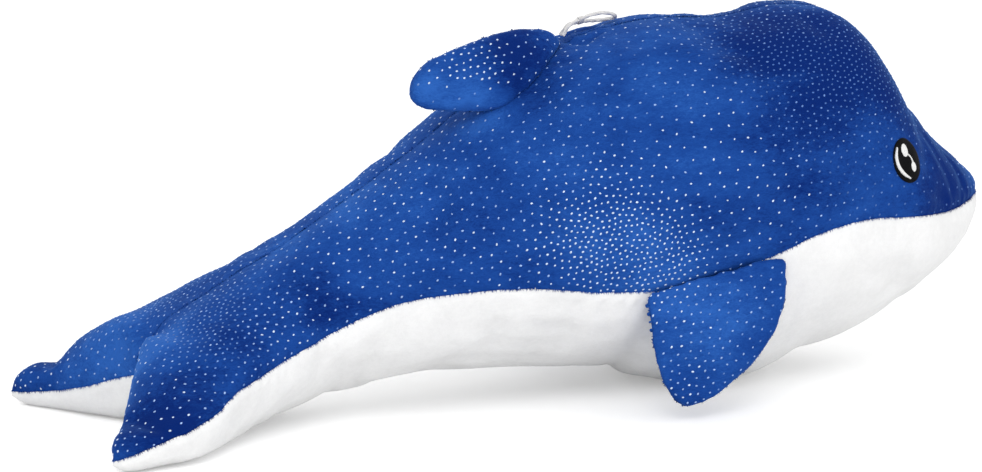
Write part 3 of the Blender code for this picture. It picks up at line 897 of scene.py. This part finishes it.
def add_fringe(name, bm, seam, above, blue, reach=1.0):
    """Short tufts of blue pile that lean over the seam to the side below zero.

    With a layer above, only where that layer is positive, and to both sides.
    """
    rng = np.random.default_rng(FRINGE_SEED)
    bm.normal_update()
    verts, faces = [], []
    for edge in bm.edges:
        a, b = edge.verts
        if a[seam] != 0.0 or b[seam] != 0.0 or len(edge.link_faces) != 2:
            continue
        if above and min(a[above], b[above]) < 0:
            continue
        run = b.co - a.co
        normal = (a.normal + b.normal).normalized()
        low = min(edge.link_faces, key=lambda face: sum(v[seam] for v in face.verts))
        down = low.calc_center_median() - (a.co + b.co) / 2
        down -= down.dot(run) / run.length_squared * run
        if down.length < 1e-6:
            continue
        down.normalize()
        for _ in range(rng.poisson(run.length / FRINGE_SPACING)):
            lean = down * (float(rng.choice((-1, 1))) if above else 1.0)
            way = lean + FRINGE_STRAY * Vector(rng.normal(size=3)) + FRINGE_RISE * normal
            root = a.co + run * rng.random() - FRINGE_ROOT * lean - FRINGE_SUNK * normal
            tip = root + way.normalized() * reach * rng.uniform(*FRINGE_LENGTH)
            side = way.cross(normal).normalized() * FRINGE_WIDTH
            first = len(verts)
            verts += [root - side, root + side, root + 0.8 * FRINGE_WIDTH * normal, tip]
            for corners in ((0, 1, 2), (0, 3, 1), (1, 3, 2), (2, 3, 0)):
                faces.append(tuple(first + corner for corner in corners))
    mesh = bpy.data.meshes.new(name)
    mesh.from_pydata(verts, [], faces)
    print("fringe", name, len(faces))
    add_object(name, mesh, "blue_plush", blue)


def body_relief(points, seam, spine):
    """How far each point of the skin goes out or in, beside the seams and in soft lumps."""
    rise = seam_relief(seam, points, BELLY_SEAM_DEPTH, PUCKER_HEIGHT, BELLY_SEAM_SEED)
    sewn = seam_relief(spine, points, SPINE_SEAM_DEPTH, PUCKER_HEIGHT, SPINE_SEAM_SEED)
    rise += np.where(seam > 0, sewn, 0)
    rise += crease_relief(points)
    for height, size, seed in BODY_LUMPS:
        rise += height * lumps(points, size, seed)
    return rise


def add_body(blue, white):
    """The stuffed body: two blue backs and a white belly. Returns the backs and the skin."""
    core = tree_of("body_filling")
    skins = {n: outer_skin(n, core) for n in ("back_panel_left", "back_panel_right", "belly_panel")}
    body = remeshed("body_skin", ("body_filling", *skins), BODY_VOXEL, 4)
    drawn_to(body, skins.values(), 0.012, 6)

    def fields():
        """Points, and the signed fields that are zero on the belly seam and on the spine."""
        points = mesh_points(body.data)
        edges = mesh_edges(body.data)
        left, right, belly = (distances(points, skin) for skin in skins.values())
        seam = smoothed(belly - np.minimum(left, right), edges, 5)
        spine = smoothed(right - left, edges, 4)
        return points, seam, spine

    points, seam, spine = fields()
    near = np.minimum(np.abs(seam), np.where(seam > 0, np.abs(spine), 1.0))
    held = np.clip(1 - near / BODY_HELD_REACH, 0, 1)
    held[points[:, 2] < REST_HEIGHT] = 1.0
    stuffed(body, held, BODY_SWELL)
    subdivided(body)
    points, seam, spine = fields()
    rise = body_relief(points, seam, spine) * np.clip(points[:, 2] / REST_FADE, 0, 1)
    points = points + rise[:, None] * mesh_normals(body.data)
    points[:, 2] = np.maximum(points[:, 2], 0.0)
    set_points(body.data, points)

    bm, layers = panel_faces(body, {"seam": seam, "spine": spine})
    add_fringe("belly_seam_pile", bm, layers[0], None, blue)
    add_fringe("spine_seam_pile", bm, layers[1], layers[0], blue)
    left = taken(bm, layers, lambda f: f[0] > 0 and f[1] > 0, "back_left", "blue_plush", blue)
    right = taken(bm, layers, lambda f: f[0] > 0 and f[1] <= 0, "back_right", "blue_plush", blue)
    belly = taken(bm, layers, lambda f: f[0] <= 0, "belly", "white_plush", white)
    bm.free()
    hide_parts("back_panel_left")
    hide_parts("back_panel_right")
    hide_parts("belly_panel", "body_filling")
    mesh = body.data
    bpy.data.objects.remove(body)
    return [left, right], mesh


# Fins

def add_fin(name, filling, panels, blue, surface):
    """A stuffed fin of two panels that are sewn together round its edge."""
    core = tree_of(filling)
    skins = [outer_skin(n, core) for n in panels]
    fin = remeshed(name, (filling, *panels), FIN_VOXEL, 10)
    drawn_to(fin, skins, 0.010, 10)
    set_points(fin.data, smoothed(mesh_points(fin.data), mesh_edges(fin.data), 3))
    points = mesh_points(fin.data)
    first, second = (distances(points, skin) for skin in skins)
    held = np.clip(1 - np.abs(second - first) / FIN_HELD_REACH, 0, 1)
    held = np.maximum(held, np.clip(1.5 - distances(points, surface) / ROOT_HELD_REACH, 0, 1))
    stuffed(fin, held, FIN_SWELL)
    subdivided(fin)
    points = mesh_points(fin.data)
    first, second = (distances(points, skin) for skin in skins)
    field = smoothed(second - first, mesh_edges(fin.data), 10)
    rise = seam_relief(field, points, FIN_SEAM_DEPTH, 0.0, FIN_SEAM_SEED)
    for height, size, seed in FIN_LUMPS:
        rise += height * lumps(points, size, seed)
    set_points(fin.data, points + rise[:, None] * mesh_normals(fin.data))
    bm, layers = panel_faces(fin, {"edge": field})
    add_fringe(name + "_seam_pile", bm, layers[0], None, blue, FIN_FRINGE)
    pieces = [
        taken(bm, layers, lambda f: f[0] > 0, panels[0] + "_pile", "blue_plush", blue),
        taken(bm, layers, lambda f: f[0] <= 0, panels[1] + "_pile", "blue_plush", blue),
    ]
    bm.free()
    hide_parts(panels[0], filling)
    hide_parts(panels[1])
    bpy.data.objects.remove(fin)
    return pieces


# Foil dots

def dot_plan(place):
    """Spacing and painted shine of the dots at a place; both sides of the toy are alike."""
    x, y, z = place
    spacing, shine = DOT_SPACING, DOT_PAINTED_SHINE
    for middle, reach, close, bright in DOT_FIELDS:
        away = math.dist((x, abs(y), z), middle) / reach
        share = min(max(DOT_FADE * (1 - away), 0.0), 1.0)
        spacing += share * (close - spacing)
        shine += share * (bright - shine)
    return spacing, shine


def scattered(piece, rng):
    """Places spread over the piece's outer face, each at its own spacing from the rest."""
    mesh = piece.data
    mesh.calc_loop_triangles()
    count = len(mesh.loop_triangles)
    corners = np.empty(count * 3, dtype=np.int64)
    mesh.loop_triangles.foreach_get("vertices", corners)
    points = mesh_points(mesh)
    a, b, c = (points[corners.reshape(-1, 3)[:, k]] for k in range(3))
    area = np.linalg.norm(np.cross(b - a, c - a), axis=1) / 2
    tries = int(area.sum() / DOT_CLOSE ** 2 * DOT_TRIES)
    pick = rng.choice(count, tries, p=area / area.sum())
    u, v = rng.random(tries), rng.random(tries)
    over = u + v > 1
    u[over], v[over] = 1 - u[over], 1 - v[over]
    w = 1 - u - v
    places = w[:, None] * a[pick] + u[:, None] * b[pick] + v[:, None] * c[pick]
    grid = {}
    chosen = []
    for place in places.tolist():
        least = DOT_LEAST * dot_plan(place)[0]
        i, j, k = (int(math.floor(p / DOT_CELL)) for p in place)
        around = (
            other
            for di in (-1, 0, 1) for dj in (-1, 0, 1) for dk in (-1, 0, 1)
            for other in grid.get((i + di, j + dj, k + dk), ())
        )
        if all(math.dist(place, other) >= least for other in around):
            grid.setdefault((i, j, k), []).append(place)
            chosen.append(Vector(place))
    return chosen


def point_tree(places):
    """A search tree of points."""
    tree = KDTree(len(places))
    for i, place in enumerate(places):
        tree.insert(place, i)
    tree.balance()
    return tree


def evened(places, skin):
    """Pushes the places apart until they sit in even rows, each kept on the skin."""
    for _ in range(DOT_ROUNDS):
        tree = point_tree(places)
        moved = []
        for i, place in enumerate(places):
            spacing = DOT_MOST * dot_plan(place)[0]
            push = Vector()
            for other, j, away in tree.find_n(place, DOT_NEIGHBOURS):
                if j != i and away < spacing:
                    push += (place - other) * (DOT_PUSH * (spacing - away) / max(away, 1e-5))
            moved.append(skin.find_nearest(place + push)[0])
        places = moved
    return places


def rim_tree(piece):
    """A search tree of the points on the piece's open edge."""
    bm = bmesh.new()
    bm.from_mesh(piece.data)
    rim = [v.co.copy() for v in bm.verts if v.is_boundary]
    bm.free()
    return point_tree(rim)


def dots_mesh(name, dots, rng):
    """Low domes of foil, a little longer along the slant than across it."""
    verts, faces = [], []
    sides = range(DOT_SIDES)
    for place, normal in dots:
        slant = DOT_SLANT + DOT_STRAY * Vector(rng.normal(size=3))
        side = (slant - slant.dot(normal) * normal).normalized()
        other = normal.cross(side)
        size = DOT_RADIUS * rng.uniform(*DOT_SIZES)
        long, short = DOT_LONG * size, DOT_SHORT * size
        first = len(verts)
        for share, height in ((1.0, -DOT_SUNK), (DOT_SHOULDER, DOT_SHOULDER * DOT_HEIGHT)):
            for k in sides:
                angle = 2 * math.pi * k / DOT_SIDES
                reach = long * math.cos(angle) * side + short * math.sin(angle) * other
                verts.append(place + share * reach + height * normal)
        verts.append(place + DOT_HEIGHT * normal)
        faces.append(tuple(first + k for k in reversed(sides)))
        low, high, top = first, first + DOT_SIDES, first + 2 * DOT_SIDES
        for k in sides:
            n = (k + 1) % DOT_SIDES
            faces.append((low + k, low + n, high + n, high + k))
            faces.append((high + k, high + n, top))
    mesh = bpy.data.meshes.new(name)
    mesh.from_pydata(verts, [], faces)
    mesh.shade_smooth()
    return mesh


def add_dots(pieces):
    """Foil dots over the blue pieces, in one object for each look, which is the foil painted with
    more or less reflection.
    """
    rng = np.random.default_rng(DOT_SEED)
    looks = [
        (name, least, foil("foil " + name, colour, roughness))
        for name, least, colour, roughness in FOIL_PAINTED_SHINES
    ]
    groups = {name: [] for name, _, _ in looks}
    for piece in pieces:
        skin = mesh_tree(piece.data)
        rim = rim_tree(piece)
        for place in evened(scattered(piece, rng), skin):
            if rim.find(place)[2] < DOT_RIM * DOT_RADIUS:
                continue
            place, normal, _, _ = skin.find_nearest(place)
            # The painted shine picks the brighter or darker copy of the foil
            shine = dot_plan(place)[1] + rng.normal(0, DOT_PAINTED_SHINE_SPREAD)
            name = next(name for name, least, _ in looks if shine >= least)
            groups[name].append((place, normal))
    for name, _, material in looks:
        dots = groups[name]
        print("dots", name, len(dots))
        add_object("foil_dots_" + name, dots_mesh(name, dots, rng), "blue_plush", material)


# Eyes

def oval_rows(middle, half_width, half_height, lean):
    """Rows of an oval that leans back by the angle, each point (ahead, above, dome)."""
    lean = math.radians(lean)
    rows = []
    for i in range(61):
        t = math.sin((i / 30 - 1) * math.pi / 2)
        reach = math.sqrt(max(1 - t * t, 0))
        row = []
        for j in range(25):
            s = math.sin((j / 12 - 1) * math.pi / 2) * reach
            a, b = half_width * s, half_height * t
            row.append((
                middle[0] + a * math.cos(lean) - b * math.sin(lean),
                middle[1] + a * math.sin(lean) + b * math.cos(lean),
                math.sqrt(max(1 - s * s - t * t, 0)) ** DOME_POWER,
            ))
        rows.append(row)
    return rows


def stroke_rows(points, widths):
    """Rows of a bent stroke through the points, with a width at each."""
    route = smooth_route([(a, b, w) for (a, b), w in zip(points, widths)], 12)
    rows = []
    for i, spot in enumerate(route):
        run = route[min(i + 1, len(route) - 1)] - route[max(i - 1, 0)]
        across = Vector((-run.y, run.x, 0)).normalized()
        row = []
        for j in range(9):
            s = j / 4 - 1
            at = spot + across * (s * spot.z / 2)
            row.append((at.x, at.y, math.sqrt(1 - s * s) * min(1, spot.z)))
        rows.append(row)
    return rows


def add_eye(side, surface, black, white):
    """A satin-stitched black oval with a white crescent, two glints and a stitch between."""
    node = "eye_" + side
    low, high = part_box(node)
    place, normal, _, _ = surface.find_nearest((Vector(low) + Vector(high)) / 2)
    up = (Vector((0, 0, 1)) - normal.z * normal).normalized()
    ahead = up.cross(normal)
    if ahead.x < 0:
        ahead = -ahead

    def stitched(name, rows, lift, material, slot, nodes):
        """Satin stitch over rows of points, each (ahead, above, share of the full height)."""
        bm = bmesh.new()
        grid = []
        for row in rows:
            line = []
            for across, above, dome in row:
                at = place + across / 1000 * ahead + above / 1000 * up
                hit, _, _, _ = surface.ray_cast(at + 0.03 * normal, -normal)
                thread_at = 2 * math.pi * (above + STITCH_SLANT * across) / STITCH_PITCH
                ridge = 0.5 + 0.5 * math.cos(thread_at)
                height = lift * (0.3 + 0.7 * dome) + STITCH_RIDGE * ridge * min(4 * dome, 1)
                line.append(bm.verts.new(hit + height * normal))
            grid.append(line)
        for first, second in zip(grid, grid[1:]):
            for a, b, c, d in zip(first, first[1:], second[1:], second):
                bm.faces.new((a, b, c, d))
        bmesh.ops.remove_doubles(bm, verts=bm.verts, dist=2e-5)
        bmesh.ops.recalc_face_normals(bm, faces=bm.faces)
        total = sum((f.normal * f.calc_area() for f in bm.faces), Vector())
        if total.dot(normal) < 0:
            bmesh.ops.reverse_faces(bm, faces=bm.faces)
        piece = add_shell(f"eye_{name}_{side}", bm, STITCH_SHELL, slot, material)
        if nodes:
            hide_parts(*nodes)

    for name, oval, lift, slot, ending in EYE_OVALS:
        material = black if slot == "black_thread" else white
        stitched(name, oval_rows(*oval), lift, material, slot, (node + ending,))
    for name, points, widths, lift in EYE_STROKES:
        stitched(name, stroke_rows(points, widths), lift, white, "white_thread", ())


# Studio

def add_world():
    """Soft white light all round, which reads full white to the camera and in gloss."""
    world = bpy.data.worlds.new("studio")
    world.use_nodes = True
    bpy.context.scene.world = world
    tree = world.node_tree
    background = tree.nodes["Background"]
    seen = tree.nodes.new("ShaderNodeBackground")
    for node, strength in ((background, WORLD_LIGHT), (seen, 1.0)):
        node.inputs["Color"].default_value = (1, 1, 1, 1)
        node.inputs["Strength"].default_value = strength
    rays = tree.nodes.new("ShaderNodeLightPath")
    either = tree.nodes.new("ShaderNodeMath")
    either.operation = "MAXIMUM"
    tree.links.new(rays.outputs["Is Camera Ray"], either.inputs[0])
    tree.links.new(rays.outputs["Is Glossy Ray"], either.inputs[1])
    choice = tree.nodes.new("ShaderNodeMixShader")
    tree.links.new(either.outputs[0], choice.inputs["Fac"])
    tree.links.new(background.outputs[0], choice.inputs[1])
    tree.links.new(seen.outputs[0], choice.inputs[2])
    tree.links.new(choice.outputs[0], tree.nodes["World Output"].inputs["Surface"])


def add_floor():
    """A pale floor that is lifted to white for the camera and keeps the shadow."""
    bm = bmesh.new()
    bmesh.ops.create_grid(bm, x_segments=1, y_segments=1, size=STUDIO_SIZE)
    shade = Shade("floor")
    shade.settle({"Base Color": FLOOR_COLOUR, "Roughness": 0.9, "Specular IOR Level": 0.0})
    rays = shade.add("ShaderNodeLightPath")
    lift = shade.add("ShaderNodeEmission")
    lift.inputs["Color"].default_value = (1, 1, 1, 1)
    level = shade.maths("MULTIPLY", rays.outputs["Is Camera Ray"], FLOOR_LIFT)
    shade.join(level, lift.inputs["Strength"])
    both = shade.add("ShaderNodeAddShader")
    shade.join(shade.shader.outputs[0], both.inputs[0])
    shade.join(lift.outputs[0], both.inputs[1])
    shade.join(both.outputs[0], shade.tree.nodes["Material Output"].inputs["Surface"])
    floor = add_object("floor", smooth_mesh("floor", bm), material=shade.material)
    floor.location.z = -FLOOR_DROP


def add_lamps():
    """Soft round lamps at a plain level, all turned to the toy."""
    for name, place, size, power in LAMPS:
        data = bpy.data.lights.new(name, "AREA")
        data.shape = "DISK"
        data.size = size
        data.energy = power
        lamp = bpy.data.objects.new(name, data)
        lamp.location = place
        lamp.rotation_euler = (Vector(place) - LAMP_TARGET).to_track_quat("Z", "Y").to_euler()
        bpy.context.collection.objects.link(lamp)


def main():
    place_camera()
    add_loop()
    blue = blue_plush("blue plush")
    white = white_plush("white plush")
    backs, body_mesh = add_body(blue, white)
    surface = mesh_tree(body_mesh)
    fins = []
    for stem, sides in FINS:
        panels = tuple(f"{stem}_{side}_panel" for side in sides)
        fins += add_fin(stem, stem + "_filling", panels, blue, surface)
    black = thread("black thread", *BLACK_THREAD)
    pale = thread("white thread", *WHITE_THREAD)
    for side in ("left", "right"):
        add_eye(side, surface, black, pale)
    add_dots(backs + fins)
    bpy.data.meshes.remove(body_mesh)
    bpy.context.scene.view_settings.view_transform = "Standard"
    add_world()
    add_floor()
    add_lamps()


main()
